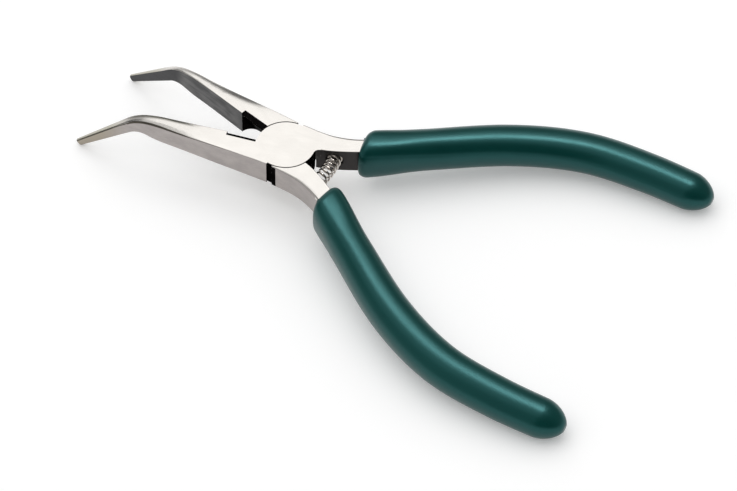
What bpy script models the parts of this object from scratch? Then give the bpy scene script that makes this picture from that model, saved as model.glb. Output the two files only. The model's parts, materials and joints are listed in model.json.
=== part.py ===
"""Small bent needle nose pliers with a lap joint, a return spring and dipped grips.

Each half is drawn in its own frame, as it lies when the jaws are closed: the pivot is
the Z axis, the jaw runs along -X, the handle along +X, and the gripping face lies on
the XZ plane. The halves are then swung apart about the pivot, and the whole tool is
tilted so that it rests on its two tips and the ends of its two grips.
"""

import math

import bmesh
import bpy
from mathutils import Matrix, Vector

MM = 0.001

# Joint
BODY_THICKNESS = 6.0 * MM
JOINT_RADIUS = 6.25 * MM
SHOULDER_STEP = 0.5 * MM
JAW_SHOULDER_ANGLE = math.radians(110.0)
SHANK_SHOULDER_ANGLE = math.radians(73.0)
CROTCH_FILLET = 1.2 * MM
LAP_CLEARANCE = 0.2 * MM
DISC_CLEARANCE = 0.25 * MM
HALF_OPENING = math.radians(12.7)

# Rivet, pressed into the upper half from below and covered by its top skin
RIVET_RADIUS = 2.0 * MM
RIVET_JOURNAL_RADIUS = 2.5 * MM
RIVET_HEAD_RADIUS = 3.2 * MM
RIVET_HEAD_HEIGHT = 0.9 * MM
RIVET_COVER = 1.0 * MM
RIVET_CLEARANCE = 0.15 * MM

# Jaw, measured from the pivot along its centre line
BEND_DISTANCE = 32.8 * MM
BEND_ANGLE = math.radians(40.0)
BEND_RADIUS = 8.0 * MM
NOSE_LENGTH = 18.6 * MM
JAW_BEND_WIDTH = 2.0 * MM
JAW_SIDE_HOLLOW = 0.15 * MM
NOSE_HEIGHT = 2.9 * MM
THINNING_BEFORE_BEND = 6.3 * MM
THINNING_AFTER_BEND = 4.2 * MM
TIP_WIDTH = 1.0 * MM
TIP_HEIGHT = 1.7 * MM
TIP_ROUND = 0.3 * MM
JAW_EDGE_ROUND = 0.15 * MM
NOSE_EDGE_ROUND = 0.4 * MM
JAW_FACE_ROUND = 0.1 * MM
NOSE_FACE_ROUND = 0.3 * MM
NOSE_CROWN = 0.09
BACK_ROLL = 0.85 * MM
BACK_ROLL_FULLNESS = 3.0
BACK_ROLL_SKEW = 1.6
FACE_CLEARANCE = 0.1 * MM
FACE_RELIEF = 0.2 * MM

# Cutter beside the joint
CUTTER_START = 6.4 * MM
CUTTER_LENGTH = 6.5 * MM
CUTTER_BEVEL_WIDTH = 1.2 * MM
CUTTER_EDGE_DEPTH = 0.7 * MM
CUTTER_RELIEF_DEPTH = 2.7 * MM

# Shank, from the joint to the grip
SHANK_INNER_OFFSET = 0.75 * MM
SHANK_GRIP_WIDTH = 4.0 * MM
SHANK_TURN = 8.0 * MM
SHANK_INNER_ROUND = 0.15 * MM
SHANK_ROOT_ROUND = 0.2 * MM
SHANK_OUTER_ROUND = 0.8 * MM

# Centre line of the handle, jaws closed, as shares of its length and of its bow
HANDLE_LENGTH = 89.2 * MM
HANDLE_BOW = 19.5 * MM
HANDLE_SHAPE = (
    (0.067, 0.167),
    (0.112, 0.177),
    (0.179, 0.254),
    (0.314, 0.518),
    (0.504, 0.859),
    (0.673, 1.0),
    (0.830, 0.928),
    (1.0, 0.749),
)

# Tang, the part of the shank inside the grip
TANG_WIDTH = 3.0 * MM
TANG_THICKNESS = 4.4 * MM
TANG_END_INSET = 8.0 * MM
TANG_TAPER_LENGTH = 12.0 * MM

# Dipped grip
GRIP_START = 15.5 * MM
GRIP_FRONT_WIDTH = 7.9 * MM
GRIP_MIDDLE_WIDTH = 8.9 * MM
GRIP_END_WIDTH = 8.3 * MM
GRIP_FRONT_HEIGHT = 9.0 * MM
GRIP_END_HEIGHT = 7.0 * MM
GRIP_LIP_ROUND = 1.0 * MM
GRIP_FRONT_SLANT = 0.7 * MM
GRIP_FRONT_LENGTH = 14.0 * MM
GRIP_FRONT_FULLNESS = 3.2
GRIP_FULLNESS = 2.25
GRIP_NOSE_LENGTH = 5.5 * MM
GRIP_NOSE_FULLNESS = 1.8
GRIP_CLEARANCE = 0.2 * MM

# Return spring
SPRING_DISTANCE = 10.3 * MM
SPRING_DIAMETER = 3.2 * MM
SPRING_WIRE = 0.4 * MM
SPRING_ACTIVE_TURNS = 8.0
SPRING_DEAD_TURNS = 1.0
SPRING_DEAD_PITCH = 0.52 * MM
SPRING_POCKET_DEPTH = 1.8 * MM
SPRING_POCKET_CLEARANCE = 0.3 * MM
SPRING_END_CLEARANCE = 0.1 * MM

# Facets
DISC_SEGMENTS = 72
BORE_SEGMENTS = 40
CORNER_POINTS = 5
GRIP_POINTS = 20
WIRE_SIDES = 6
TURN_SEGMENTS = 18
CUT_MARGIN = 1.0 * MM
SMOOTH_ANGLE = math.radians(32.0)

# Values worked out from the sizes above
HALF_THICKNESS = BODY_THICKNESS / 2
SHOULDER_RADIUS = JOINT_RADIUS + SHOULDER_STEP
BEND_TANGENT = BEND_RADIUS * math.tan(BEND_ANGLE / 2)
BEND_START = BEND_DISTANCE - BEND_TANGENT
BEND_LENGTH = BEND_RADIUS * BEND_ANGLE
JAW_LENGTH = BEND_START + BEND_LENGTH + NOSE_LENGTH - BEND_TANGENT
TANG_END = HANDLE_LENGTH - TANG_END_INSET
CUTTER_END = CUTTER_START + CUTTER_LENGTH


def clear_scene():
    for item in list(bpy.data.objects):
        bpy.data.objects.remove(item, do_unlink=True)


def make_material(name, color, metallic, roughness):
    material = bpy.data.materials.new(name)
    material.use_nodes = True
    shader = material.node_tree.nodes["Principled BSDF"]
    shader.inputs["Base Color"].default_value = (*color, 1.0)
    shader.inputs["Metallic"].default_value = metallic
    shader.inputs["Roughness"].default_value = roughness
    return material


def mix(first, second, share):
    return first + (second - first) * share


def ease(share):
    """Smooth step from 0 to 1, flat at both ends."""
    share = min(max(share, 0.0), 1.0)
    return share * share * (3 - 2 * share)


def spaced(first, last, count):
    return [mix(first, last, index / (count - 1)) for index in range(count)]


def add_object(name, mesh, parent, material=None):
    item = bpy.data.objects.new(name, mesh)
    bpy.context.scene.collection.objects.link(item)
    item.parent = parent
    if material:
        mesh.materials.append(material)
    mesh.shade_smooth()
    mesh.set_sharp_from_angle(angle=SMOOTH_ANGLE)
    return item


def add_empty(name, parent=None):
    item = bpy.data.objects.new(name, None)
    item.empty_display_size = JOINT_RADIUS
    bpy.context.scene.collection.objects.link(item)
    item.parent = parent
    return item


def finish_mesh(name, form):
    bmesh.ops.recalc_face_normals(form, faces=form.faces)
    mesh = bpy.data.meshes.new(name)
    form.to_mesh(mesh)
    form.free()
    return mesh


def loft(name, rings):
    """Closed body through rings of equal count, with flat ends."""
    form = bmesh.new()
    rows = [[form.verts.new(point) for point in ring] for ring in rings]
    count = len(rows[0])
    for row, following in zip(rows[:-1], rows[1:]):
        for index in range(count):
            after = (index + 1) % count
            form.faces.new((row[index], row[after], following[after], following[index]))
    form.faces.new(rows[0])
    form.faces.new(rows[-1])
    return finish_mesh(name, form)


def prism(name, outline, bottom, top):
    """Straight body from an outline of (x, y) points."""
    lower = [Vector((x, y, bottom)) for x, y in outline]
    upper = [Vector((x, y, top)) for x, y in outline]
    return loft(name, [lower, upper])


def cylinder(name, radius, bottom, top, segments):
    turns = [math.tau * index / segments for index in range(segments)]
    outline = [(radius * math.cos(turn), radius * math.sin(turn)) for turn in turns]
    return prism(name, outline, bottom, top)


def hull(name, points):
    form = bmesh.new()
    for point in points:
        form.verts.new(point)
    result = bmesh.ops.convex_hull(form, input=form.verts)
    bmesh.ops.delete(form, geom=result["geom_interior"], context="VERTS")
    return finish_mesh(name, form)


def combine(item, name, mesh, operation):
    """Adds or cuts a guide body with a Boolean modifier."""
    guide = add_object(f"{item.name}_{name}", mesh, item.parent)
    guide.hide_render = True
    guide.display_type = "WIRE"
    modifier = item.modifiers.new(name, "BOOLEAN")
    modifier.operation = operation
    modifier.solver = "EXACT"
    modifier.object = guide


def jaw_path(distance):
    """Reach from the pivot, height and downward slope of the jaw's centre line."""
    curved = min(max(distance - BEND_START, 0.0), BEND_LENGTH)
    slope = curved / BEND_RADIUS
    straight = max(distance - BEND_START - BEND_LENGTH, 0.0)
    reach = min(distance, BEND_START) + BEND_RADIUS * math.sin(slope)
    drop = BEND_RADIUS * (1 - math.cos(slope))
    return reach + straight * math.cos(slope), -drop - straight * math.sin(slope), slope


def jaw_width(distance):
    root_distance = -SHOULDER_RADIUS * math.cos(JAW_SHOULDER_ANGLE)
    root_width = SHOULDER_RADIUS * math.sin(JAW_SHOULDER_ANGLE)
    if distance < BEND_DISTANCE:
        share = (distance - root_distance) / (BEND_DISTANCE - root_distance)
        hollow = JAW_SIDE_HOLLOW * math.sin(math.pi * share)
        return mix(root_width, JAW_BEND_WIDTH, share) - hollow
    share = (distance - BEND_DISTANCE) / (JAW_LENGTH - BEND_DISTANCE)
    return mix(JAW_BEND_WIDTH, TIP_WIDTH, share)


def jaw_height(distance):
    thinning_start = BEND_DISTANCE - THINNING_BEFORE_BEND
    thinning_end = BEND_DISTANCE + THINNING_AFTER_BEND
    if distance < thinning_end:
        share = (distance - thinning_start) / (thinning_end - thinning_start)
        return mix(BODY_THICKNESS, NOSE_HEIGHT, ease(share))
    share = (distance - thinning_end) / (JAW_LENGTH - thinning_end)
    return mix(NOSE_HEIGHT, TIP_HEIGHT, share)


def face_offset(distance):
    """Gripping faces meet at the tip and beside the cutter, and stand back between."""
    hollow_end = BEND_DISTANCE + THINNING_AFTER_BEND
    share = (distance - CUTTER_END) / (hollow_end - CUTTER_END)
    hollow = math.sin(math.pi * share) if 0.0 < share < 1.0 else 0.0
    return FACE_CLEARANCE + FACE_RELIEF * hollow


def rounded_section(inner, outer, half_height, inner_round, outer_round):
    """Rectangle with rounded corners, as (width, height) points."""
    inner_round = min(inner_round, 0.4 * (outer - inner), 0.45 * half_height)
    outer_round = min(outer_round, 0.55 * (outer - inner), 0.96 * half_height)
    points = []
    for right, up, corner in (
        (1, 1, outer_round),
        (-1, 1, inner_round),
        (-1, -1, inner_round),
        (1, -1, outer_round),
    ):
        start = math.atan2(up - right, up + right)
        for angle in spaced(start, start + math.pi / 2, CORNER_POINTS):
            side = outer - corner if right > 0 else inner + corner
            width = side + corner * math.cos(angle)
            points.append((width, up * (half_height - corner) + corner * math.sin(angle)))
    return points


def domed_section(section, crown, roll):
    """Domes a section's top and bottom by crown, and rolls its top off at the back."""
    inner = min(width for width, height in section)
    outer = max(width for width, height in section)
    half_height = max(height for width, height in section)
    points = []
    for index, (width, height) in enumerate(section):
        points.append((width, height))
        if index in (CORNER_POINTS - 1, 3 * CORNER_POINTS - 1):
            following = section[index + 1][0]
            points += [(between, height) for between in spaced(width, following, 6)[1:-1]]
    domed = []
    for width, height in points:
        share = (width - inner) / (outer - inner)
        drop = crown * (2 * share - 1) ** 2
        if height > 0:
            drop += roll * share**BACK_ROLL_FULLNESS
        domed.append((width, height * (1 - drop / half_height)))
    return domed


def back_roll(distance):
    """How far the back's top edge lies below the top face: most just before the bend."""
    start = -SHOULDER_RADIUS * math.cos(JAW_SHOULDER_ANGLE)
    length = BEND_DISTANCE + THINNING_AFTER_BEND - start
    share = min(max((distance - start) / length, 0.0), 1.0)
    return BACK_ROLL * math.sin(math.pi * share**BACK_ROLL_SKEW)


def jaw_ring(distance, side, shrink=0.0, advance=0.0):
    """One ring of the jaw; the rings at the root lean along the shoulder face."""
    root_lean = -SHOULDER_RADIUS * math.cos(JAW_SHOULDER_ANGLE)
    lean = root_lean * max(1 - distance / CUTTER_END, 0.0)
    reach, height, slope = jaw_path(distance)
    outer = jaw_width(distance + lean)
    growth = ease((distance - CUTTER_END) / (BEND_DISTANCE - CUTTER_END))
    section = rounded_section(
        face_offset(distance),
        outer - shrink,
        jaw_height(distance) / 2 - shrink,
        mix(JAW_FACE_ROUND, NOSE_FACE_ROUND, growth),
        mix(JAW_EDGE_ROUND, NOSE_EDGE_ROUND, growth),
    )
    crown = NOSE_CROWN * growth * (outer - face_offset(distance))
    section = domed_section(section, crown, back_roll(distance))
    ring = []
    for width, level in section:
        along = reach + lean * width / outer + level * math.sin(slope)
        along += advance * math.cos(slope)
        z = height + level * math.cos(slope) - advance * math.sin(slope)
        ring.append(Vector((-along, side * width, z)))
    return ring


def jaw_mesh(name, side):
    body_end = JAW_LENGTH - TIP_ROUND
    distances = spaced(0.0, BEND_START - THINNING_BEFORE_BEND, 14)
    distances += spaced(distances[-1], BEND_START + BEND_LENGTH, 16)[1:]
    distances += spaced(distances[-1], body_end, 10)[1:]
    rings = [jaw_ring(distance, side) for distance in distances]
    for turn in (30.0, 60.0, 85.0):
        angle = math.radians(turn)
        shrink = TIP_ROUND * (1 - math.cos(angle))
        rings.append(jaw_ring(body_end, side, shrink, TIP_ROUND * math.sin(angle)))
    return loft(name, rings)


def handle_points():
    """The handle's line from the middle of the shoulder face to the end of the grip."""
    tangent = math.tan(SHANK_SHOULDER_ANGLE)
    inner = Vector((SHANK_INNER_OFFSET / tangent, SHANK_INNER_OFFSET))
    outer_x = SHOULDER_RADIUS * math.cos(SHANK_SHOULDER_ANGLE)
    outer_y = SHOULDER_RADIUS * math.sin(SHANK_SHOULDER_ANGLE)
    root = (inner + Vector((outer_x, outer_y))) / 2
    line = [(HANDLE_LENGTH * along, HANDLE_BOW * across) for along, across in HANDLE_SHAPE]
    return [(root.x, root.y), *line], (Vector((outer_x, outer_y)) - inner).length


def handle_centre(x):
    """Height of the handle's line over X, and its slope, by a smooth cubic."""
    points = handle_points()[0]
    index = 0
    while index < len(points) - 2 and x > points[index + 1][0]:
        index += 1

    def slope_at(place):
        before = points[max(place - 1, 0)]
        after = points[min(place + 1, len(points) - 1)]
        return (after[1] - before[1]) / (after[0] - before[0])

    (x0, y0), (x1, y1) = points[index], points[index + 1]
    span = x1 - x0
    t = (x - x0) / span
    m0 = slope_at(index) * span
    m1 = slope_at(index + 1) * span
    y = (2 * t**3 - 3 * t**2 + 1) * y0 + (t**3 - 2 * t**2 + t) * m0
    y += (3 * t**2 - 2 * t**3) * y1 + (t**3 - t**2) * m1
    rise = (6 * t**2 - 6 * t) * y0 + (3 * t**2 - 4 * t + 1) * m0
    rise += (6 * t - 6 * t**2) * y1 + (3 * t**2 - 2 * t) * m1
    return y, rise / span


def handle_turn(x):
    """Angle of the ring at X: along the shoulder, then upright, then square to the line."""
    if x < SHANK_TURN:
        return mix(SHANK_SHOULDER_ANGLE - math.pi / 2, 0.0, ease(x / SHANK_TURN))
    slope = math.atan(handle_centre(x)[1])
    upright_until = GRIP_START + GRIP_LIP_ROUND
    return slope * ease((x - SHANK_TURN) / upright_until)


def handle_width(x):
    """Width of the steel, narrowing quickly behind the shoulder."""
    points, root_width = handle_points()
    if x < GRIP_START:
        share = (GRIP_START - x) / (GRIP_START - points[0][0])
        return mix(SHANK_GRIP_WIDTH, root_width, share**1.5)
    return mix(SHANK_GRIP_WIDTH, TANG_WIDTH, ease((x - GRIP_START) / TANG_TAPER_LENGTH))


def handle_thickness(x):
    taper_start = GRIP_START + GRIP_LIP_ROUND
    return mix(BODY_THICKNESS, TANG_THICKNESS, ease((x - taper_start) / TANG_TAPER_LENGTH))


def place_section(x, section, side, advance=0.0, slant=0.0):
    """Puts (width, height) points on the handle's line, width pointing outward."""
    turn = handle_turn(x)
    across = Vector((-math.sin(turn), math.cos(turn)))
    along = Vector((math.cos(turn), math.sin(turn)))
    centre = Vector((x, handle_centre(x)[0]))
    ring = []
    for width, height in section:
        spot = centre + across * width + along * (advance + slant * width)
        ring.append(Vector((spot.x, side * spot.y, height)))
    return ring


def oval_section(half_width, half_height, fullness):
    """Oval of GRIP_POINTS points; fullness 2 is an ellipse, and more is squarer."""
    points = []
    for index in range(GRIP_POINTS):
        angle = math.tau * (index + 0.5) / GRIP_POINTS
        width = math.copysign(abs(math.cos(angle)) ** (2 / fullness), math.cos(angle))
        height = math.copysign(abs(math.sin(angle)) ** (2 / fullness), math.sin(angle))
        points.append((half_width * width, half_height * height))
    return points


def steel_section(x, gap=0.0):
    half_width = handle_width(x) / 2 + gap
    half_height = handle_thickness(x) / 2 + gap
    outer_round = mix(SHANK_ROOT_ROUND, SHANK_OUTER_ROUND, ease(x / GRIP_START))
    return rounded_section(
        -half_width, half_width, half_height, SHANK_INNER_ROUND + gap, outer_round + gap
    )


def handle_mesh(name, side):
    start = handle_points()[0][0][0]
    stations = spaced(start, GRIP_START, 14)
    stations += spaced(GRIP_START, TANG_END, 20)[1:]
    rings = [place_section(x, steel_section(x), side) for x in stations]
    return loft(name, rings)


def crotch_outline(side):
    """Fillet between the disc and the shank's inner face."""
    level = SHANK_INNER_OFFSET
    distance = JOINT_RADIUS + CROTCH_FILLET
    centre = Vector((math.sqrt(distance**2 - (level - CROTCH_FILLET) ** 2), level - CROTCH_FILLET))
    foot = math.atan2(-centre.y, -centre.x) % math.tau
    inside = JOINT_RADIUS - CROTCH_FILLET
    outline = [(inside, centre.y), (inside, 2 * level), (centre.x, 2 * level)]
    for angle in spaced(math.pi / 2, foot, 9):
        outline.append(
            (centre.x + CROTCH_FILLET * math.cos(angle), centre.y + CROTCH_FILLET * math.sin(angle))
        )
    return [(x, side * y) for x, y in outline]


def cutter_bevel(name, side):
    """Wedge that bevels the blade from the top face down to its edge."""
    edge = HALF_THICKNESS - CUTTER_EDGE_DEPTH
    rise = CUTTER_EDGE_DEPTH / CUTTER_BEVEL_WIDTH
    far = CUTTER_BEVEL_WIDTH + CUT_MARGIN
    section = ((-CUT_MARGIN, edge - CUT_MARGIN * rise), (far, edge + far * rise))
    section += ((-CUT_MARGIN, edge + far * rise),)
    rings = []
    for along in (CUTTER_START, CUTTER_END):
        rings.append([Vector((-along, side * width, height)) for width, height in section])
    return loft(name, rings)


def cutter_relief(name, side):
    """Round scoop from the underside, which runs out in the cutting edge."""
    edge = HALF_THICKNESS - CUTTER_EDGE_DEPTH
    bottom = -HALF_THICKNESS - CUT_MARGIN
    depth = CUTTER_RELIEF_DEPTH * (edge - bottom) / (edge + HALF_THICKNESS)
    middle = CUTTER_START + CUTTER_LENGTH / 2
    points = []
    for along in (CUTTER_START, CUTTER_END):
        points.append(Vector((-along, 0.0, edge)))
        points.append(Vector((-along, -side * CUT_MARGIN, edge)))
        points.append(Vector((-along, -side * CUT_MARGIN, bottom)))
    for angle in spaced(0.0, math.pi, 17):
        along = middle + CUTTER_LENGTH / 2 * math.cos(angle)
        points.append(Vector((-along, side * depth * math.sin(angle), bottom)))
    return hull(name, points)


def pocket_frame(side):
    """Middle of the spring pocket's floor and its axis, in the half's own frame."""
    centre, slope = handle_centre(SPRING_DISTANCE)
    face = centre - handle_width(SPRING_DISTANCE) / 2 / math.cos(math.atan(slope))
    floor = Vector((SPRING_DISTANCE, side * (face + SPRING_POCKET_DEPTH), 0.0))
    return floor, Vector((0.0, side, 0.0))


def spring_pocket(name, side):
    floor, outward = pocket_frame(side)
    radius = SPRING_DIAMETER / 2 + SPRING_POCKET_CLEARANCE
    mesh = cylinder(name, radius, -SPRING_POCKET_DEPTH - CUT_MARGIN, 0.0, BORE_SEGMENTS)
    turn = Vector((0.0, 0.0, 1.0)).rotation_difference(outward).to_matrix().to_4x4()
    mesh.transform(Matrix.Translation(floor) @ turn)
    return mesh


def make_half(name, frame, jaw_side, lap, material):
    """One forged half; lap is 1 where its disc is the upper one and -1 where it is the lower."""
    half = add_object(name, jaw_mesh(name, jaw_side), frame, material)
    combine(half, "shank", handle_mesh("shank", -jaw_side), "UNION")
    disc = cylinder("disc", JOINT_RADIUS, -HALF_THICKNESS, HALF_THICKNESS, DISC_SEGMENTS)
    combine(half, "disc", disc, "UNION")
    lap_face = lap * LAP_CLEARANCE / 2
    levels = sorted((lap_face, lap * HALF_THICKNESS))
    fillet = prism("fillet", crotch_outline(-jaw_side), *levels)
    combine(half, "fillet", fillet, "UNION")
    levels = sorted((lap_face, -lap * (HALF_THICKNESS + CUT_MARGIN)))
    pocket = cylinder("lap", JOINT_RADIUS + DISC_CLEARANCE, *levels, DISC_SEGMENTS)
    combine(half, "lap", pocket, "DIFFERENCE")
    combine(half, "bevel", cutter_bevel("bevel", jaw_side), "DIFFERENCE")
    combine(half, "relief", cutter_relief("relief", jaw_side), "DIFFERENCE")
    combine(half, "pocket", spring_pocket("pocket", -jaw_side), "DIFFERENCE")
    return half


def bore_half(half, name, radius, bottom, top):
    bore = cylinder(name, radius + RIVET_CLEARANCE, bottom, top, BORE_SEGMENTS)
    combine(half, name, bore, "DIFFERENCE")


def make_rivet(frame, material):
    head_top = RIVET_HEAD_HEIGHT - HALF_THICKNESS
    journal_top = -LAP_CLEARANCE / 2
    pin_top = HALF_THICKNESS - RIVET_COVER - RIVET_CLEARANCE
    profile = (
        (RIVET_HEAD_RADIUS, -HALF_THICKNESS),
        (RIVET_HEAD_RADIUS, head_top),
        (RIVET_JOURNAL_RADIUS, head_top),
        (RIVET_JOURNAL_RADIUS, journal_top),
        (RIVET_RADIUS, journal_top),
        (RIVET_RADIUS, pin_top),
    )
    rings = []
    for radius, height in profile:
        turns = [math.tau * index / BORE_SEGMENTS for index in range(BORE_SEGMENTS)]
        rings.append(
            [Vector((radius * math.cos(turn), radius * math.sin(turn), height)) for turn in turns]
        )
    return add_object("pivot_rivet", loft("pivot_rivet", rings), frame, material)


def grip_size(x):
    """Half width and half height of the grip at X."""
    share = (x - GRIP_START) / (HANDLE_LENGTH - GRIP_START)
    ends = mix(GRIP_FRONT_WIDTH, GRIP_END_WIDTH, share)
    swell = GRIP_MIDDLE_WIDTH - (GRIP_FRONT_WIDTH + GRIP_END_WIDTH) / 2
    width = ends + swell * 4 * share * (1 - share)
    return width / 2, mix(GRIP_FRONT_HEIGHT, GRIP_END_HEIGHT, share) / 2


def grip_ring(x, side, scale=1.0, inset=0.0):
    """One ring of the grip; near the front it is squarer and its outer side is set back."""
    half_width, half_height = grip_size(x)
    front = 1 - ease((x - GRIP_START) / GRIP_FRONT_LENGTH)
    fullness = mix(GRIP_FULLNESS, GRIP_FRONT_FULLNESS, front)
    section = oval_section(half_width * scale - inset, half_height * scale - inset, fullness)
    slant = front * GRIP_FRONT_SLANT / (GRIP_FRONT_WIDTH / 2)
    return place_section(x, section, side, slant=slant)


def make_grip(name, frame, side, material):
    """Dipped sleeve, open at the front, with a bore that follows the tang."""
    nose_start = HANDLE_LENGTH - GRIP_NOSE_LENGTH
    outer = []
    for turn in spaced(0.0, 90.0, 4):
        angle = math.radians(turn)
        x = GRIP_START + GRIP_LIP_ROUND * (1 - math.cos(angle))
        outer.append(grip_ring(x, side, inset=GRIP_LIP_ROUND * (1 - math.sin(angle))))
    for x in spaced(GRIP_START + GRIP_LIP_ROUND, nose_start, 22)[1:]:
        outer.append(grip_ring(x, side))
    for share in (0.25, 0.45, 0.63, 0.78, 0.89, 0.96):
        x = nose_start + GRIP_NOSE_LENGTH * share
        fullness = (1 - share**GRIP_NOSE_FULLNESS) ** (1 / GRIP_NOSE_FULLNESS)
        outer.append(grip_ring(x, side, scale=fullness))
    bore = []
    for x in spaced(GRIP_START, TANG_END, 16):
        bore.append(place_section(x, steel_section(x, GRIP_CLEARANCE), side))
    section = steel_section(TANG_END, GRIP_CLEARANCE)
    bore.append(place_section(TANG_END, section, side, advance=GRIP_CLEARANCE))
    rings = outer[::-1] + bore
    return add_object(name, loft(name, rings), frame, material)


def spring_arc():
    """Centre and radius of the arc that is square to both pocket floors, jaws open."""
    floor, outward = pocket_frame(1)
    swing = Matrix.Rotation(HALF_OPENING, 3, "Z")
    end = swing @ (floor - outward * (SPRING_END_CLEARANCE + SPRING_WIRE / 2))
    radius = end.y / math.sin(HALF_OPENING)
    return end.x - radius * math.cos(HALF_OPENING), radius


def spring_travel(turn, turns, length):
    """Distance along the spring's arc after so many turns; the end turns lie close."""
    dead = SPRING_DEAD_TURNS * SPRING_DEAD_PITCH
    if turn < SPRING_DEAD_TURNS:
        return turn * SPRING_DEAD_PITCH
    if turn > turns - SPRING_DEAD_TURNS:
        return length - (turns - turn) * SPRING_DEAD_PITCH
    return dead + (turn - SPRING_DEAD_TURNS) * (length - 2 * dead) / SPRING_ACTIVE_TURNS


def make_spring(frame, material):
    centre_x, radius = spring_arc()
    length = 2 * radius * HALF_OPENING
    turns = SPRING_ACTIVE_TURNS + 2 * SPRING_DEAD_TURNS
    coil = (SPRING_DIAMETER - SPRING_WIRE) / 2

    def wire_point(turn, reach):
        arc = spring_travel(turn, turns, length) / radius - HALF_OPENING
        phase = math.tau * turn
        distance = radius + reach * math.cos(phase)
        x = centre_x + distance * math.cos(arc)
        return Vector((x, distance * math.sin(arc), reach * math.sin(phase)))

    rings = []
    step = 1 / TURN_SEGMENTS
    for index in range(round(turns * TURN_SEGMENTS) + 1):
        turn = index * step
        spot = wire_point(turn, coil)
        ahead = wire_point(turn + step / 2, coil) - wire_point(turn - step / 2, coil)
        outward = spot - wire_point(turn, 0.0)
        sideways = ahead.cross(outward).normalized()
        outward = sideways.cross(ahead).normalized()
        ring = []
        for side in range(WIRE_SIDES):
            angle = math.tau * side / WIRE_SIDES
            offset = outward * math.cos(angle) + sideways * math.sin(angle)
            ring.append(spot + offset * SPRING_WIRE / 2)
        rings.append(ring)
    return add_object("return_spring", loft("return_spring", rings), frame, material)


def lowest(points, tilt):
    """Lowest height of the points once the tool is tilted about Y."""
    return min(point.z * math.cos(tilt) - point.x * math.sin(tilt) for point in points)


def rest_on_table(stance, pieces):
    """Tilts and lifts the tool onto its tips and grips, centred over the origin."""
    bpy.context.view_layer.update()
    points = []
    for piece in pieces:
        points += [piece.matrix_world @ vertex.co for vertex in piece.data.vertices]
    front = [point for point in points if point.x < -BEND_DISTANCE / 2]
    rear = [point for point in points if point.x > GRIP_START]
    low, high = 0.0, BEND_ANGLE
    for _ in range(40):
        tilt = (low + high) / 2
        if lowest(front, tilt) < lowest(rear, tilt):
            low = tilt
        else:
            high = tilt
    turn = Matrix.Rotation(tilt, 3, "Y")
    turned = [turn @ point for point in points]
    centre_x = (min(p.x for p in turned) + max(p.x for p in turned)) / 2
    centre_y = (min(p.y for p in turned) + max(p.y for p in turned)) / 2
    stance.rotation_euler = (0.0, tilt, 0.0)
    stance.location = (-centre_x, -centre_y, -lowest(points, tilt))


def main():
    clear_scene()
    steel = make_material("polished_steel", (0.72, 0.70, 0.67), 1.0, 0.24)
    rivet_steel = make_material("rivet_steel", (0.62, 0.60, 0.58), 1.0, 0.32)
    spring_steel = make_material("spring_steel", (0.60, 0.56, 0.50), 1.0, 0.28)
    vinyl = make_material("green_vinyl", (0.004, 0.068, 0.050), 0.0, 0.38)

    stance = add_empty("stance")
    upper_frame = add_empty("upper_frame", stance)
    upper_frame.rotation_euler = (0.0, 0.0, HALF_OPENING)
    lower_frame = add_empty("lower_frame", stance)
    lower_frame.rotation_euler = (0.0, 0.0, -HALF_OPENING)

    upper_half = make_half("upper_half", upper_frame, -1, 1, steel)
    bore_half(upper_half, "rivet_bore", RIVET_RADIUS, -CUT_MARGIN, HALF_THICKNESS - RIVET_COVER)

    lower_half = make_half("lower_half", lower_frame, 1, -1, steel)
    below = -HALF_THICKNESS - CUT_MARGIN
    bore_half(lower_half, "rivet_bore", RIVET_JOURNAL_RADIUS, below, CUT_MARGIN)
    head_floor = RIVET_HEAD_HEIGHT + RIVET_CLEARANCE - HALF_THICKNESS
    bore_half(lower_half, "rivet_head_bore", RIVET_HEAD_RADIUS, below, head_floor)

    rivet = make_rivet(upper_frame, rivet_steel)
    upper_grip = make_grip("upper_grip", upper_frame, 1, vinyl)
    lower_grip = make_grip("lower_grip", lower_frame, -1, vinyl)
    spring = make_spring(stance, spring_steel)
    rest_on_table(stance, (upper_half, lower_half, rivet, upper_grip, lower_grip, spring))


main()
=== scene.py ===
"""Looks of the bent needle nose pliers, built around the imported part."""

import json
import math

import bmesh
import bpy
from mathutils import Matrix, Vector


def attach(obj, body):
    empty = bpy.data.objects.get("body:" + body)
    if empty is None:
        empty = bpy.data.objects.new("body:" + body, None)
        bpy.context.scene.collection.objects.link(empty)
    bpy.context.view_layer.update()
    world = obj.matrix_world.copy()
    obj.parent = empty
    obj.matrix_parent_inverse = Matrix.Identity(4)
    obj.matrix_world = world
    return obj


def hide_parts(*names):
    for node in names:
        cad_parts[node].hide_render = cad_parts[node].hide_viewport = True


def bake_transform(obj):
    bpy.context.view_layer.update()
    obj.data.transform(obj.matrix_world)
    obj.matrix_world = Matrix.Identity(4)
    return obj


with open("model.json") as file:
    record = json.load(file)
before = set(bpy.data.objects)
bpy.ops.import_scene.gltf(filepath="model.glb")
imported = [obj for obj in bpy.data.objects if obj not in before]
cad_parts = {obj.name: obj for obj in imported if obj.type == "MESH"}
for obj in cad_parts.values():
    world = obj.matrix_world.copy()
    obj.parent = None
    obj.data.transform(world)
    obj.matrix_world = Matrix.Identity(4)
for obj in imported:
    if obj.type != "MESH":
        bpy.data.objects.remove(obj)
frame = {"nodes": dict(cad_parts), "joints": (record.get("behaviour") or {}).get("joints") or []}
bpy.context.view_layer.update()

# Lengths are in millimetres; places and sizes of the camera, lamps and floor are in metres
MM = 0.001

# Sizes that the part's source gives
HALF_OPENING = math.radians(12.7)
JOINT_RADIUS = 6.25
CUTTER_START = 6.4
CUTTER_END = 12.9
SHANK_WIDTH = 4.0
SHANK_HEIGHT = 6.0
TANG_WIDTH = 3.0
TANG_HEIGHT = 4.4
TANG_TAPER_LENGTH = 12.0
TANG_END = 81.2
PACKED_LIP = 1.0

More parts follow.
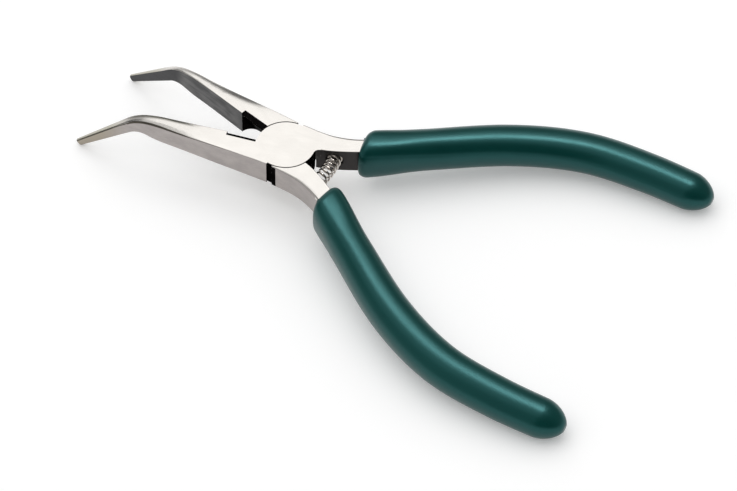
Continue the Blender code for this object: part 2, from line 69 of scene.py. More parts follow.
# Spring: the middle of its pocket's floor in the upper half's frame, the distance from there
# to the middle of the wire's end, and its coil
SPRING_POCKET_FLOOR = (10.3, 3.058)
SPRING_END_GAP = 0.3
SPRING_COIL_RADIUS = 1.4
SPRING_WIRE_RADIUS = 0.23
SPRING_TURNS = 10
SPRING_DEAD_TURNS = 1
SPRING_DEAD_PITCH = 0.52
SPRING_STEP = 1 / 40
SPRING_SIDES = 12

# Centre line of the handle in its half's own frame, along X and outward
HANDLE_LINE = (
    (1.101, 3.603),
    (5.976, 3.257),
    (9.990, 3.452),
    (15.967, 4.953),
    (28.009, 10.101),
    (44.957, 16.751),
    (60.032, 19.5),
    (74.036, 18.096),
    (89.2, 14.606),
)

# Where the handle's sections start to turn square to its line, and over what length
HANDLE_TURN_START = 8.0
HANDLE_TURN_LENGTH = 16.5

# Grip: its ends along X, its widths and heights, and its section's squareness
GRIP_START = 15.5
GRIP_END = HANDLE_LINE[-1][0]
GRIP_WIDTHS = (7.9, 8.9, 8.3)
GRIP_HEIGHTS = (9.0, 7.0)
GRIP_FRONT_LENGTH = 14.0
GRIP_FRONT_SLANT = 0.177
GRIP_FRONT_FULLNESS = 3.0
GRIP_FULLNESS = 2.25
GRIP_LIP_LENGTH = 1.9
GRIP_LIP_DEPTH = 1.35
GRIP_BEAD_LENGTH = 9.5
GRIP_BEAD_DEPTH = 0.35
GRIP_NOSE_LENGTH = 5.5
GRIP_NOSE_FULLNESS = 1.8

# Grip: the rings of its nose as shares of the nose's length, and the counts of the others
GRIP_SIDES = 36
GRIP_NOSE_SHARES = (0.96, 0.9, 0.83, 0.75, 0.66, 0.56, 0.45, 0.33, 0.2, 0.08)
GRIP_BODY_RINGS = 54
GRIP_LIP_RINGS = 8

# Grip: its hole round the tang, a little wider at the mouth
BORE_FULLNESS = 9.0
BORE_MOUTH_GAP = 0.2
BORE_MOUTH_LENGTH = 0.15
BORE_GAP = 0.05
BORE_RINGS = 14

# Edges of the steel: width and count of the bevels, and the angle from which an edge has one
EDGE_WIDTH = 0.07
EDGE_SEGMENTS = 2
RIVET_EDGE_WIDTH = 0.15
RIVET_EDGE_SEGMENTS = 3
EDGE_ANGLE = math.radians(38.0)

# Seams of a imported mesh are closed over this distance, and its flats joined up to this angle
SEAM = 0.002
FLAT_ANGLE = math.radians(0.3)

# Faces above this area keep their own normal where it differs by more than this slope
SMALL_FACE = 0.2 * MM * MM
FLAT_SLOPE = math.radians(5.0)

# Above 1, the shading of the jaws' rolled outer edges is flatter on top and tighter outside
NEAR_EDGE_TIGHTNESS = 2.2
FAR_EDGE_TIGHTNESS = 1.4

# Finishes of a half's faces, in the order of its material slots; the bevels' finish paints a
# highlight along the edges, and the last one paints a dark reflection along the near jaw's outer
# edge
SATIN, GROUND, BLACKENED, EDGE_HIGHLIGHT, SIDE, PAINTED_EDGE_REFLECTION = range(6)

# Places in a half's own frame that part its finishes
CUTTER_ZONE = (CUTTER_START - 0.2, CUTTER_END + 0.1)
CUTTER_WIDTH = 3.2
POCKET_RADIUS = JOINT_RADIUS + 0.6
HANDLE_START = 2.0
# Reach from which the near jaw's outer edge takes the painted dark reflection
PAINTED_EDGE_REFLECTION_START = 9.0

# Shares of a face's normal, upward or to the side, that part its finishes
LEVEL_FACE = 0.97
UPRIGHT_FACE = 0.5
JAW_INNER_FACE = 0.7
HANDLE_INNER_FACE = 0.6
SIDE_FACE = 0.8
# Slopes of the faces that take the painted dark reflection
PAINTED_EDGE_REFLECTION_FACE = 0.78
PAINTED_EDGE_REFLECTION_RISE = 0.15

# The halves' own frames, in which the pivot is Z and each jaw runs along -X
JOINT = frame["joints"][0]
PIVOT = Vector(JOINT["pos_m"])
AXIS = Vector(JOINT["axis"]).normalized()
FORWARD = Vector((AXIS.z, 0.0, -AXIS.x))
STANCE = Matrix.Translation(PIVOT) @ Matrix(
    ((FORWARD.x, 0.0, AXIS.x), (0.0, 1.0, 0.0), (FORWARD.z, 0.0, AXIS.z))
).to_4x4()
UPPER_FRAME = STANCE @ Matrix.Rotation(HALF_OPENING, 4, "Z")
LOWER_FRAME = STANCE @ Matrix.Rotation(-HALF_OPENING, 4, "Z")

# Camera, fitted to the photograph's outlines; its lens and sensor are in millimetres
CAMERA_PLACE = (0.23133445, -0.36248221, 0.48031791)
CAMERA_BACK = (0.3534917, -0.55586517, 0.75236797)
CAMERA_UP = (-0.34475826, 0.67026168, 0.65718418)
CAMERA_LENS = 148.84
CAMERA_SENSOR = 36.0
CAMERA_RANGE = (0.05, 20.0)

# World: ranges of its direction's X, Y and Z over which the radiance changes
REAR_RANGE = (-0.3, 0.6)
FRONT_RADIANCE = 0.05
REAR_RADIANCE = 0.16
REFLECTORS = (
    ((0.15, -0.15), (0.0, -0.35), 0.45),
    ((-0.35, -0.6), (0.1, 0.4), 0.6),
)
BACKDROP_RANGE = (0.20, 0.10)
BACKDROP_RADIANCE = 1.0

# Floor: half its length, its grey level, and the glow that only some rays see
FLOOR_REACH = 3.0
FLOOR_GREY = 0.86
FLOOR_GLOW = 0.22

# Groups of lamps whose light is limited to some of the pieces
CORES = ("long_core", "left_core", "right_core")
PANELS = ("steel_panel", "front_panel")

# Ranges along the near jaw's X and Y over which a painted dark reflection at its inner edge comes
# in, and its colour
INNER_REFLECTION_ACROSS = (-1.5, -0.8)
INNER_REFLECTION_ALONG = ((-18.0, -24.0), (-38.0, -34.0))
INNER_EDGE_PAINTED_REFLECTION = (0.20, 0.19, 0.165)

# Range of X over which a jaw's top takes on the roughness of its tip
TIP_RANGE = (-14.0, -24.0)

# Ground metal: its two noises, and the ranges of them over which tone and roughness change
GRAIN_DETAIL = 5.0
GRAIN_ROUGHNESS = 0.6
GRAIN_STRENGTH = 0.35
BLOTCH_SCALE = (0.25, 0.5, 0.5)
BLOTCH_DETAIL = 3.0
TONE_RANGE = (0.36, 0.64)
GLOSS_RANGE = (0.3, 0.7)

# Vinyl of the grips
VINYL_IOR = 1.6
VINYL_TINT = (0.34, 0.97, 1.0)
VINYL_TONES = ((0.0002, 0.028, 0.024), (0.0006, 0.037, 0.031))
VINYL_ROUGHNESS = (0.28, 0.32)
PEEL_STRENGTH = 0.25
PEEL_DEPTH = 0.03


def link(item):
    bpy.context.scene.collection.objects.link(item)
    return item


# Shader nodes


def add_node(tree, kind, **settings):
    node = tree.nodes.new(kind)
    for key, value in settings.items():
        setattr(node, key, value)
    return node


def feed(tree, socket, source):
    """Sets a socket to a number or a colour, or links it to another node's output."""
    if isinstance(source, float):
        socket.default_value = source
    elif isinstance(source, tuple):
        socket.default_value = (*source, 1.0)
    else:
        tree.links.new(source, socket)


def fade(tree, value, start, end, first=0.0, last=1.0):
    """Smooth change from first to last while the value goes from start to end."""
    node = add_node(tree, "ShaderNodeMapRange", interpolation_type="SMOOTHSTEP")
    feed(tree, node.inputs["Value"], value)
    feed(tree, node.inputs["From Min"], start)
    feed(tree, node.inputs["From Max"], end)
    feed(tree, node.inputs["To Min"], first)
    feed(tree, node.inputs["To Max"], last)
    return node.outputs["Result"]


def combine(tree, operation, first, second):
    node = add_node(tree, "ShaderNodeMath", operation=operation)
    feed(tree, node.inputs[0], first)
    feed(tree, node.inputs[1], second)
    return node.outputs[0]


# The Mix node has sockets of its own for each type of data, so they are picked by number
def blend_values(tree, share, first, second):
    node = add_node(tree, "ShaderNodeMix", data_type="FLOAT")
    feed(tree, node.inputs[0], share)
    feed(tree, node.inputs[2], first)
    feed(tree, node.inputs[3], second)
    return node.outputs[0]


def blend_colors(tree, share, first, second):
    node = add_node(tree, "ShaderNodeMix", data_type="RGBA")
    feed(tree, node.inputs[0], share)
    feed(tree, node.inputs[6], first)
    feed(tree, node.inputs[7], second)
    return node.outputs[2]


def split_axes(tree, place):
    node = add_node(tree, "ShaderNodeSeparateXYZ")
    feed(tree, node.inputs[0], place)
    return tuple(node.outputs)


def own_place(tree):
    """Place on the piece in its own frame, in millimetres."""
    node = add_node(tree, "ShaderNodeAttribute", attribute_type="GEOMETRY")
    node.attribute_name = "own"
    return node.outputs["Vector"]


def noise(tree, place, scale, detail, roughness=0.5):
    """Noise whose scale along X, Y and Z is in cycles per millimetre."""
    stretch = add_node(tree, "ShaderNodeMapping")
    stretch.inputs["Scale"].default_value = scale
    feed(tree, stretch.inputs["Vector"], place)
    node = add_node(tree, "ShaderNodeTexNoise")
    feed(tree, node.inputs["Vector"], stretch.outputs[0])
    feed(tree, node.inputs["Scale"], 1.0)
    feed(tree, node.inputs["Detail"], detail)
    feed(tree, node.inputs["Roughness"], roughness)
    return node.outputs[0]


def bump(tree, shader, height, strength, distance):
    """Relief of the surface; the distance is in millimetres."""
    node = add_node(tree, "ShaderNodeBump")
    feed(tree, node.inputs["Strength"], strength)
    feed(tree, node.inputs["Distance"], distance * MM)
    feed(tree, node.inputs["Height"], height)
    feed(tree, shader.inputs["Normal"], node.outputs[0])


# Camera and light


def make_camera():
    data = bpy.data.cameras.new("camera")
    data.sensor_width = CAMERA_SENSOR
    data.lens = CAMERA_LENS
    data.clip_start, data.clip_end = CAMERA_RANGE
    camera = link(bpy.data.objects.new("camera", data))
    back = Vector(CAMERA_BACK).normalized()
    right = Vector(CAMERA_UP).cross(back).normalized()
    turn = Matrix((right, back.cross(right), back)).transposed().to_4x4()
    camera.matrix_world = Matrix.Translation(CAMERA_PLACE) @ turn
    bpy.context.scene.camera = camera


def make_softbox(name, location, size, radiance, mirrored=True, diffuse=True):
    """Level soft box overhead that faces down.

    Reflections show it if it is mirrored, and it lights matte surfaces if it is diffuse.
    """
    data = bpy.data.lights.new(name, "AREA")
    data.shape = "RECTANGLE"
    data.size, data.size_y = size
    data.energy = radiance * math.pi * size[0] * size[1]
    light = link(bpy.data.objects.new(name, data))
    light.location = location
    light.visible_glossy = mirrored
    light.visible_diffuse = diffuse


def make_lamps():
    """Broad light, narrow cores, even panels, and a fill that no reflection shows."""
    make_softbox("broad_light", (-0.34, 0.30, 0.9), (1.1, 1.1), 0.62)
    make_softbox("long_core", (-0.13, 0.43, 0.88), (0.52, 0.20), 5.0, diffuse=False)
    make_softbox("left_core", (-0.33, 0.32, 0.87), (0.16, 0.20), 5.5, diffuse=False)
    make_softbox("right_core", (0.04, 0.41, 0.86), (0.20, 0.22), 8.0, diffuse=False)
    make_softbox("steel_panel", (-0.22, 0.58, 0.89), (0.8, 0.7), 0.63, diffuse=False)
    make_softbox("front_panel", (0.8, -1.0, 0.89), (1.8, 1.2), 0.55, diffuse=False)
    make_softbox("fill", (-0.15, 0.8, 1.2), (5.0, 3.8), 0.76, mirrored=False)


def light_only(lamp, pieces):
    """Limits a lamp to the pieces given."""
    receivers = bpy.data.collections.new(lamp + "_receivers")
    for piece in pieces:
        receivers.objects.link(piece)
    bpy.data.objects[lamp].light_linking.receiver_collection = receivers


def make_world():
    """Dark studio with a white low backdrop, a paler rear and two reflectors at the left."""
    world = bpy.data.worlds.new("studio")
    bpy.context.scene.world = world
    world.use_nodes = True
    tree = world.node_tree
    tree.nodes.clear()
    place = add_node(tree, "ShaderNodeTexCoord")
    x, y, z = split_axes(tree, place.outputs["Generated"])
    level = fade(tree, y, *REAR_RANGE, FRONT_RADIANCE, REAR_RADIANCE)
    for x_range, y_range, radiance in REFLECTORS:
        across = fade(tree, x, *x_range)
        along = fade(tree, y, *y_range)
        level = blend_values(tree, combine(tree, "MULTIPLY", across, along), level, radiance)
    level = blend_values(tree, fade(tree, z, *BACKDROP_RANGE), level, BACKDROP_RADIANCE)
    background = add_node(tree, "ShaderNodeBackground")
    feed(tree, background.inputs["Color"], (1.0, 1.0, 1.0))
    feed(tree, background.inputs["Strength"], level)
    output = add_node(tree, "ShaderNodeOutputWorld")
    feed(tree, output.inputs["Surface"], background.outputs[0])


def floor_material():
    """Pale sheet; its glow makes it white to the camera and in reflections, but lights nothing."""
    material = bpy.data.materials.new("floor_white")
    material.use_nodes = True
    tree = material.node_tree
    tree.nodes.clear()
    paper = add_node(tree, "ShaderNodeBsdfDiffuse")
    feed(tree, paper.inputs["Color"], (FLOOR_GREY, FLOOR_GREY, FLOOR_GREY))
    rays = add_node(tree, "ShaderNodeLightPath").outputs
    seen = combine(tree, "MAXIMUM", rays["Is Camera Ray"], rays["Is Glossy Ray"])
    seen = combine(tree, "MAXIMUM", seen, rays["Is Transmission Ray"])
    glow = add_node(tree, "ShaderNodeEmission")
    feed(tree, glow.inputs["Strength"], combine(tree, "MULTIPLY", seen, FLOOR_GLOW))
    total = add_node(tree, "ShaderNodeAddShader")
    feed(tree, total.inputs[0], paper.outputs[0])
    feed(tree, total.inputs[1], glow.outputs[0])
    output = add_node(tree, "ShaderNodeOutputMaterial")
    feed(tree, output.inputs["Surface"], total.outputs[0])
    return material


def make_floor():
    form = bmesh.new()
    bmesh.ops.create_grid(form, x_segments=1, y_segments=1, size=FLOOR_REACH)
    mesh = bpy.data.meshes.new("floor")
    form.to_mesh(mesh)
    form.free()
    mesh.materials.append(floor_material())
    floor = link(bpy.data.objects.new("floor", mesh))


# Materials


def principled(name, metallic):
    material = bpy.data.materials.new(name)
    material.use_nodes = True
    tree = material.node_tree
    shader = tree.nodes["Principled BSDF"]
    feed(tree, shader.inputs["Metallic"], metallic)
    return material, tree, shader


def ground_metal(name, tones, roughness, grain_scale, relief, changes=(), tip_roughness=None):
    """Metal with soft blotches and a fine grain, which a low scale along X draws out into lines.

    Each change is a range of X and the tone that comes in over it. The roughness of a metal stays
    on one side of about 0.27, because the denoiser leaves a contour line where it passes that.
    """
    material, tree, shader = principled(name, 1.0)
    place = own_place(tree)
    x = split_axes(tree, place)[0]
    grain = noise(tree, place, grain_scale, GRAIN_DETAIL, GRAIN_ROUGHNESS)
    blotch = noise(tree, place, BLOTCH_SCALE, BLOTCH_DETAIL)
    share = fade(tree, blend_values(tree, 0.5, grain, blotch), *TONE_RANGE)
    color = blend_colors(tree, share, *tones)
    for start, end, tone in changes:
        color = blend_colors(tree, fade(tree, x, start, end), color, tone)
    feed(tree, shader.inputs["Base Color"], color)
    rough = fade(tree, grain, *GLOSS_RANGE, *roughness)
    if tip_roughness is not None:
        rough = blend_values(tree, fade(tree, x, *TIP_RANGE), rough, tip_roughness)
    feed(tree, shader.inputs["Roughness"], rough)
    bump(tree, shader, grain, GRAIN_STRENGTH, relief)
    return material


def satin_steel(name):
    """Satin top of a half, duller and more olive towards the tip of its jaw."""
    return ground_metal(
        name,
        tones=((0.67, 0.645, 0.61), (0.71, 0.685, 0.65)),
        roughness=(0.14, 0.18),
        grain_scale=(0.35, 7.0, 7.0),
        relief=0.003,
        changes=((-34.0, -40.0, (0.46, 0.44, 0.37)),),
        tip_roughness=0.26,
    )


def near_steel_painted_reflection(name):
    """Satin steel with a painted dark reflection beside the near jaw's gripping face, from mid jaw
    to bend.
    """
    material = satin_steel(name)
    tree = material.node_tree
    socket = tree.nodes["Principled BSDF"].inputs["Base Color"]
    x, y, _ = split_axes(tree, own_place(tree))
    # Mask of the painted dark reflection: near the gripping face, between mid jaw and bend
    share = fade(tree, y, *INNER_REFLECTION_ACROSS)
    for start, end in INNER_REFLECTION_ALONG:
        share = combine(tree, "MULTIPLY", share, fade(tree, x, start, end))
    color = socket.links[0].from_socket
    feed(tree, socket, blend_colors(tree, share, color, INNER_EDGE_PAINTED_REFLECTION))
    return material


def ground_steel():
    """Dark inner faces of the jaws and handles, with painted shade on the handles' inner faces and
    from the jaws' bend to their tips.
    """
    return ground_metal(
        "ground_steel",
        tones=((0.062, 0.061, 0.062), (0.145, 0.143, 0.143)),
        roughness=(0.30, 0.42),
        grain_scale=(0.07, 2.4, 2.4),
        relief=0.010,
        # Painted shade: darker on the handles past the joint, and from the jaws' bend to their
        # tips
        changes=((1.0, 3.0, (0.052, 0.048, 0.047)), (-30.0, -33.0, (0.050, 0.050, 0.052))),
    )


def blackened_steel():
    """Cutter and walls of the joint's pocket, with little glare at flat angles."""
    material = ground_metal(
        "blackened_steel",
        tones=((0.004, 0.0035, 0.0035), (0.012, 0.011, 0.011)),
        roughness=(0.40, 0.5),
        grain_scale=(3.0, 1.0, 3.0),
        relief=0.010,
    )
    tree = material.node_tree
    feed(tree, tree.nodes["Principled BSDF"].inputs["Specular Tint"], (0.2, 0.2, 0.2))
    return material


def edge_highlight_steel():
    """Bevels of the halves' edges, paler than the tops: a painted highlight along the edges."""
    return ground_metal(
        "edge_highlight_steel",
        tones=((0.70, 0.67, 0.64), (0.80, 0.78, 0.75)),
        roughness=(0.18, 0.26),
        grain_scale=(2.0, 3.0, 3.0),
        relief=0.002,
    )


def side_steel():
    """Brushed outer sides, browner at the noses."""
    return ground_metal(
        "side_steel",
        tones=((0.36, 0.33, 0.32), (0.44, 0.405, 0.39)),
        roughness=(0.28, 0.34),
        grain_scale=(0.35, 6.0, 6.0),
        relief=0.006,
        changes=((-34.0, -42.0, (0.37, 0.33, 0.27)),),
    )


def painted_edge_reflection_steel():
    """Painted dark reflection along the near jaw's outer edge."""
    return ground_metal(
        "painted_edge_reflection_steel",
        tones=((0.10, 0.09, 0.075), (0.15, 0.135, 0.115)),
        roughness=(0.30, 0.42),
        grain_scale=(0.3, 3.0, 3.0),
        relief=0.006,
    )


def drawn_wire_steel():
    return ground_metal(
        "drawn_wire_steel",
        tones=((0.70, 0.64, 0.58), (0.84, 0.80, 0.76)),
        roughness=(0.16, 0.26),
        grain_scale=(3.0, 3.0, 3.0),
        relief=0.003,
    )


def rivet_face_steel():
    return ground_metal(
        "rivet_face_steel",
        tones=((0.56, 0.54, 0.52), (0.66, 0.64, 0.62)),
        roughness=(0.28, 0.38),
        grain_scale=(2.0, 2.0, 2.0),
        relief=0.005,
    )


def dipped_vinyl():
    """Deep green coating with a soft skin, faint runs and a fine orange peel."""
    material, tree, shader = principled("dipped_vinyl", 0.0)
    feed(tree, shader.inputs["IOR"], VINYL_IOR)
    feed(tree, shader.inputs["Specular Tint"], VINYL_TINT)
    place = own_place(tree)
    peel = noise(tree, place, scale=(1.6, 1.6, 1.6), detail=3.0)
    runs = noise(tree, place, scale=(0.12, 0.9, 0.9), detail=3.0)
    cloud = noise(tree, place, scale=(0.09, 0.16, 0.16), detail=2.0)
    share = fade(tree, blend_values(tree, 0.5, runs, cloud), start=0.15, end=0.85)
    feed(tree, shader.inputs["Base Color"], blend_colors(tree, share, *VINYL_TONES))
    rough = fade(tree, cloud, 0.1, 0.9, *VINYL_ROUGHNESS)
    feed(tree, shader.inputs["Roughness"], rough)
    bump(tree, shader, peel, PEEL_STRENGTH, PEEL_DEPTH)
    return material


# Curves and meshes


def mix(first, second, share):
    return first + (second - first) * share


def ease(share):
    """Smooth step from 0 to 1, flat at both ends."""
    share = min(max(share, 0.0), 1.0)
    return share * share * (3 - 2 * share)


def spaced(first, last, count):
    return [mix(first, last, index / (count - 1)) for index in range(count)]


def packed_form(node):
    """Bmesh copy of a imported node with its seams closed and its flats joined."""
    form = bmesh.new()
    form.from_mesh(frame["nodes"][node].data)
    bmesh.ops.remove_doubles(form, verts=form.verts, dist=SEAM * MM)
    bmesh.ops.dissolve_limit(form, angle_limit=FLAT_ANGLE, verts=form.verts, edges=form.edges)
    return form


def join_rings(form, rows):
    """Makes the faces between each ring of vertices and the next."""
    for row, following in zip(rows[:-1], rows[1:]):
        for place in range(len(row)):
            after = (place + 1) % len(row)
            form.faces.new((row[place], row[after], following[after], following[place]))


def make_piece(name, form, own_frame, materials):
    """Smooth object whose points know their place in the half's own frame, in millimetres."""
    mesh = bpy.data.meshes.new(name)
    form.to_mesh(mesh)
    form.free()
    item = link(bpy.data.objects.new(name, mesh))
    mesh.shade_smooth()
    for material in materials:
        mesh.materials.append(material)
    inverse = own_frame.inverted()
    places = mesh.attributes.new("own", "FLOAT_VECTOR", "POINT")
    for vertex, value in zip(mesh.vertices, places.data):
        value.vector = inverse @ vertex.co / MM
    return item


def bevel_edges(item, width, segments):
    bevel = item.modifiers.new("edges", "BEVEL")
    bevel.width = width * MM
    bevel.segments = segments
    bevel.limit_method = "ANGLE"
    bevel.angle_limit = EDGE_ANGLE
    item.modifiers.new("flats", "WEIGHTED_NORMAL")
    return bevel


# Halves and rivet


def face_finish(centre, normal, jaw_side):
    """Finish of one face, from its place and direction in the half's own frame."""
    outward = jaw_side * normal.y
    reach = -centre.x
    on_handle = reach < -HANDLE_START
    in_cutter = CUTTER_ZONE[0] < reach < CUTTER_ZONE[1] and jaw_side * centre.y < CUTTER_WIDTH
    if in_cutter and abs(normal.z) < LEVEL_FACE:
        return BLACKENED
    if reach > CUTTER_END and outward < -JAW_INNER_FACE:
        return GROUND
    if on_handle and outward > HANDLE_INNER_FACE:
        return GROUND
    if math.hypot(centre.x, centre.y) < POCKET_RADIUS and abs(normal.z) < UPRIGHT_FACE:
        return BLACKENED
    # The near jaw's rolled outer edge takes a painted dark reflection
    if jaw_side < 0 and reach > PAINTED_EDGE_REFLECTION_START:
        if outward > PAINTED_EDGE_REFLECTION_FACE and normal.z > PAINTED_EDGE_REFLECTION_RISE:
            return PAINTED_EDGE_REFLECTION
    if outward > SIDE_FACE or (on_handle and outward < -SIDE_FACE):
        return SIDE
    return SATIN


def tighter_bend(normal, turn, jaw_side):
    """Shades the jaw's rolled outer edge as a flatter top with a tighter bend beside it."""
    own = turn.transposed() @ normal
    outward = jaw_side * own.y
    if outward <= 0.0 or own.z <= 0.0:
        return normal
    tilt = math.atan2(outward, own.z)
    tightness = FAR_EDGE_TIGHTNESS if jaw_side > 0 else NEAR_EDGE_TIGHTNESS
    tighter = math.pi / 2 * (tilt / (math.pi / 2)) ** tightness
    length = math.hypot(outward, own.z)
    own.y = jaw_side * math.sin(tighter) * length
    own.z = math.cos(tighter) * length
    return turn @ own


def settle(item, own_frame, jaw_side):
    """Applies the modifiers and keeps the larger flats from taking on their neighbours' slope."""
    state = bpy.context.evaluated_depsgraph_get()
    mesh = bpy.data.meshes.new_from_object(item.evaluated_get(state))
    item.modifiers.clear()
    item.data = mesh
    turn = own_frame.to_3x3()
    inverse = own_frame.inverted()
    normals = [Vector(corner.vector) for corner in mesh.corner_normals]
    for face in mesh.polygons:
        on_jaw = -(inverse @ face.center / MM).x >= JOINT_RADIUS
        for corner in face.loop_indices:
            if face.area > SMALL_FACE and normals[corner].angle(face.normal) > FLAT_SLOPE:
                normals[corner] = face.normal.copy()
            if on_jaw:
                normals[corner] = tighter_bend(normals[corner], turn, jaw_side)
    mesh.normals_split_custom_set(normals)


def steel_half(name, node, body, own_frame, jaw_side, materials):
    """Forged half, with the finish of each face by its place and direction."""
    item = make_piece(name, packed_form(node), own_frame, materials)
    inverse = own_frame.inverted()
    turn = inverse.to_3x3()
    for face in item.data.polygons:
        centre = inverse @ face.center / MM
        face.material_index = face_finish(centre, turn @ face.normal, jaw_side)
    # The bevels take the paler steel that paints a highlight along the edges
    bevel_edges(item, EDGE_WIDTH, EDGE_SEGMENTS).material = EDGE_HIGHLIGHT
    settle(item, own_frame, jaw_side)
    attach(item, body)
    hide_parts(node)
    return item


def rivet(name, material):
    item = make_piece(name, packed_form("pivot_rivet"), UPPER_FRAME, [material])
    bevel_edges(item, RIVET_EDGE_WIDTH, RIVET_EDGE_SEGMENTS)
    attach(item, "upper")
    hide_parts("pivot_rivet")
    return item


# Grips


def handle_centre(x):
    """Distance of the handle's line from X, and its slope, by a smooth cubic."""
    index = 0
    while index < len(HANDLE_LINE) - 2 and x > HANDLE_LINE[index + 1][0]:
        index += 1

    def slope_at(place):
        before = HANDLE_LINE[max(place - 1, 0)]
        after = HANDLE_LINE[min(place + 1, len(HANDLE_LINE) - 1)]
        return (after[1] - before[1]) / (after[0] - before[0])

    (x0, y0), (x1, y1) = HANDLE_LINE[index], HANDLE_LINE[index + 1]
    span = x1 - x0
    t = (x - x0) / span
    m0 = slope_at(index) * span
    m1 = slope_at(index + 1) * span
    y = (2 * t**3 - 3 * t**2 + 1) * y0 + (t**3 - 2 * t**2 + t) * m0
    y += (3 * t**2 - 2 * t**3) * y1 + (t**3 - t**2) * m1
    rise = (6 * t**2 - 6 * t) * y0 + (3 * t**2 - 4 * t + 1) * m0
    rise += (6 * t - 6 * t**2) * y1 + (3 * t**2 - 2 * t) * m1
    return y, rise / span


def sleeve_ring(x, side, half_width, half_height, fullness, slant=0.0):
    """Ring of points round the handle's line, as an oval or, with more fullness, squarer."""
    centre, slope = handle_centre(x)
    turn = math.atan(slope) * ease((x - HANDLE_TURN_START) / HANDLE_TURN_LENGTH)
    across = Vector((-math.sin(turn), math.cos(turn)))
    along = Vector((math.cos(turn), math.sin(turn)))

    def squared(value):
        return math.copysign(abs(value) ** (2 / fullness), value)

    ring = []
    for index in range(GRIP_SIDES):
        angle = math.tau * (index + 0.5) / GRIP_SIDES
        width = squared(math.cos(angle)) * half_width
        height = squared(math.sin(angle)) * half_height
        spot = Vector((x, centre)) + across * width + along * slant * width
        ring.append(Vector((spot.x, side * spot.y, height)))
    return ring


def sleeve_size(x):
    """Half width and half height of the sleeve, with its bead."""
    share = (x - GRIP_START) / (GRIP_END - GRIP_START)
    front, middle, end = GRIP_WIDTHS
    width = mix(front, end, share) + (middle - (front + end) / 2) * 4 * share * (1 - share)
    bead = GRIP_BEAD_DEPTH * (1 - ease((x - GRIP_START) / GRIP_BEAD_LENGTH))
    return width / 2 + bead, mix(*GRIP_HEIGHTS, share) / 2 + bead


def outer_ring(x, side, scale=1.0, inset=0.0):
    half_width, half_height = sleeve_size(x)
    front = 1 - ease((x - GRIP_START) / GRIP_FRONT_LENGTH)
    return sleeve_ring(
        x,
        side,
        half_width * scale - inset,
        half_height * scale - inset,
        mix(GRIP_FULLNESS, GRIP_FRONT_FULLNESS, front),
        front * GRIP_FRONT_SLANT,
    )


def bore_ring(x, side, gap):
    """Ring of the hole that holds the tang."""
    width = mix(SHANK_WIDTH, TANG_WIDTH, ease((x - GRIP_START) / TANG_TAPER_LENGTH))
    thinned = ease((x - GRIP_START - PACKED_LIP) / TANG_TAPER_LENGTH)
    height = mix(SHANK_HEIGHT, TANG_HEIGHT, thinned)
    return sleeve_ring(x, side, width / 2 + gap, height / 2 + gap, BORE_FULLNESS)


def grip_rings(side):
    """Rings from the sleeve's rounded end to its rolled front lip, and then down its hole."""
    nose_start = GRIP_END - GRIP_NOSE_LENGTH
    rings = []
    for share in GRIP_NOSE_SHARES:
        scale = (1 - share**GRIP_NOSE_FULLNESS) ** (1 / GRIP_NOSE_FULLNESS)
        rings.append(outer_ring(nose_start + GRIP_NOSE_LENGTH * share, side, scale=scale))
    for x in spaced(nose_start, GRIP_START + GRIP_LIP_LENGTH, GRIP_BODY_RINGS)[:-1]:
        rings.append(outer_ring(x, side))
    for degrees in spaced(90.0, 0.0, GRIP_LIP_RINGS):
        angle = math.radians(degrees)
        x = GRIP_START + GRIP_LIP_LENGTH * (1 - math.cos(angle))
        rings.append(outer_ring(x, side, inset=GRIP_LIP_DEPTH * (1 - math.sin(angle))))
    rings.append(bore_ring(GRIP_START, side, BORE_MOUTH_GAP))
    rings.append(bore_ring(GRIP_START + BORE_MOUTH_LENGTH, side, BORE_GAP))
    for x in spaced(GRIP_START + PACKED_LIP, TANG_END, BORE_RINGS):
        rings.append(bore_ring(x, side, BORE_GAP))
    return rings


def grip(name, node, body, own_frame, side, material):
    """Dipped sleeve: rolled front lip, slight bead behind it, rounded end, hole for the tang."""
    form = bmesh.new()
    rows = []
    for ring in grip_rings(side):
        rows.append([form.verts.new(own_frame @ (point * MM)) for point in ring])
    join_rings(form, rows)
    for row in (rows[0], rows[-1]):
        tip = form.verts.new(sum((vertex.co for vertex in row), Vector()) / GRIP_SIDES)
        for place in range(GRIP_SIDES):
            form.faces.new((row[place], row[(place + 1) % GRIP_SIDES], tip))
    bmesh.ops.recalc_face_normals(form, faces=form.faces)
    item = make_piece(name, form, own_frame, [material])
    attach(item, body)
    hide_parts(node)
    return item


# Spring


def spring_arc():
    """Centre, along the stance's X, and radius of the arc square to both pocket floors."""
    x, y = SPRING_POCKET_FLOOR
    end = Matrix.Rotation(HALF_OPENING, 3, "Z") @ Vector((x, y - SPRING_END_GAP, 0.0))
    radius = end.y / math.sin(HALF_OPENING)
    return end.x - radius * math.cos(HALF_OPENING), radius


def spring_travel(turn, length):
    """Way along the arc after some turns: close at both ends, and open between them."""
    if turn < SPRING_DEAD_TURNS:
        return turn * SPRING_DEAD_PITCH
    if turn > SPRING_TURNS - SPRING_DEAD_TURNS:
        return length - (SPRING_TURNS - turn) * SPRING_DEAD_PITCH
    dead = SPRING_DEAD_TURNS * SPRING_DEAD_PITCH
    pitch = (length - 2 * dead) / (SPRING_TURNS - 2 * SPRING_DEAD_TURNS)
    return dead + (turn - SPRING_DEAD_TURNS) * pitch


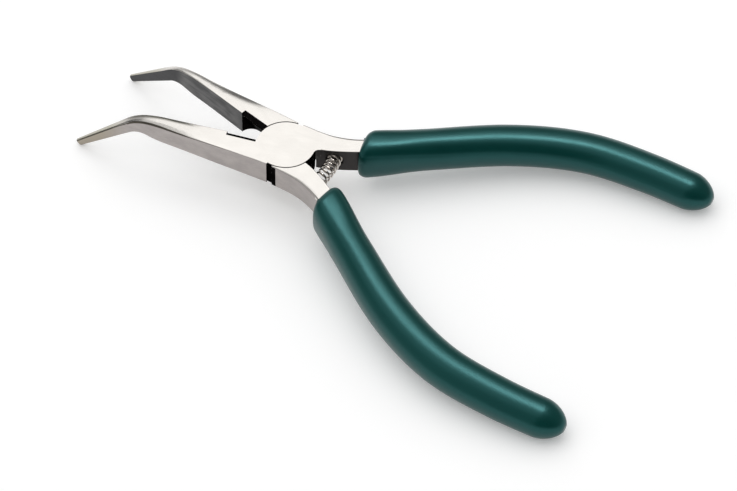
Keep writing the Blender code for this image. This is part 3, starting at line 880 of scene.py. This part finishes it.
def spring(name, material):
    """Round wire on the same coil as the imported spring, bent between the two halves."""
    centre_x, radius = spring_arc()
    length = 2 * HALF_OPENING * radius

    def wire(turn, reach):
        arc = spring_travel(turn, length) / radius - HALF_OPENING
        phase = math.tau * turn
        distance = radius + reach * math.cos(phase)
        x = centre_x + distance * math.cos(arc)
        return Vector((x, distance * math.sin(arc), reach * math.sin(phase)))

    form = bmesh.new()
    rows = []
    for index in range(round(SPRING_TURNS / SPRING_STEP) + 1):
        turn = index * SPRING_STEP
        spot = wire(turn, SPRING_COIL_RADIUS)
        ahead = wire(turn + SPRING_STEP / 2, SPRING_COIL_RADIUS)
        ahead -= wire(turn - SPRING_STEP / 2, SPRING_COIL_RADIUS)
        sideways = ahead.cross(spot - wire(turn, 0.0)).normalized()
        outward = sideways.cross(ahead).normalized()
        row = []
        for side in range(SPRING_SIDES):
            angle = math.tau * side / SPRING_SIDES
            offset = outward * math.cos(angle) + sideways * math.sin(angle)
            row.append(form.verts.new(STANCE @ ((spot + offset * SPRING_WIRE_RADIUS) * MM)))
        rows.append(row)
    join_rings(form, rows)
    form.faces.new(rows[0])
    form.faces.new(rows[-1])
    bmesh.ops.recalc_face_normals(form, faces=form.faces)
    item = make_piece(name, form, STANCE, [material])
    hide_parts("return_spring")
    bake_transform(item)
    return item


make_camera()
make_world()
make_lamps()
make_floor()

near_top = near_steel_painted_reflection("near_steel_painted_reflection")
far_top = satin_steel("satin_steel")
finishes = (
    ground_steel(),
    blackened_steel(),
    edge_highlight_steel(),
    side_steel(),
    painted_edge_reflection_steel(),
)
vinyl = dipped_vinyl()

flat_steel = (
    steel_half("near_jaw_half", "upper_half", "upper", UPPER_FRAME, -1, (near_top, *finishes)),
    steel_half("far_jaw_half", "lower_half", "lower", LOWER_FRAME, 1, (far_top, *finishes)),
    rivet("pivot_rivet_steel", rivet_face_steel()),
)
rounded = (
    grip("far_grip_sleeve", "upper_grip", "upper", UPPER_FRAME, 1, vinyl),
    grip("near_grip_sleeve", "lower_grip", "lower", LOWER_FRAME, -1, vinyl),
    spring("coil_spring", drawn_wire_steel()),
)

# From some sides the flat tops would mirror the narrow cores as plain white, so even panels
# light the steel halves and the rivet instead
for lamp in PANELS:
    light_only(lamp, flat_steel)
for lamp in CORES:
    light_only(lamp, rounded)

bpy.context.scene.view_settings.view_transform = "Standard"
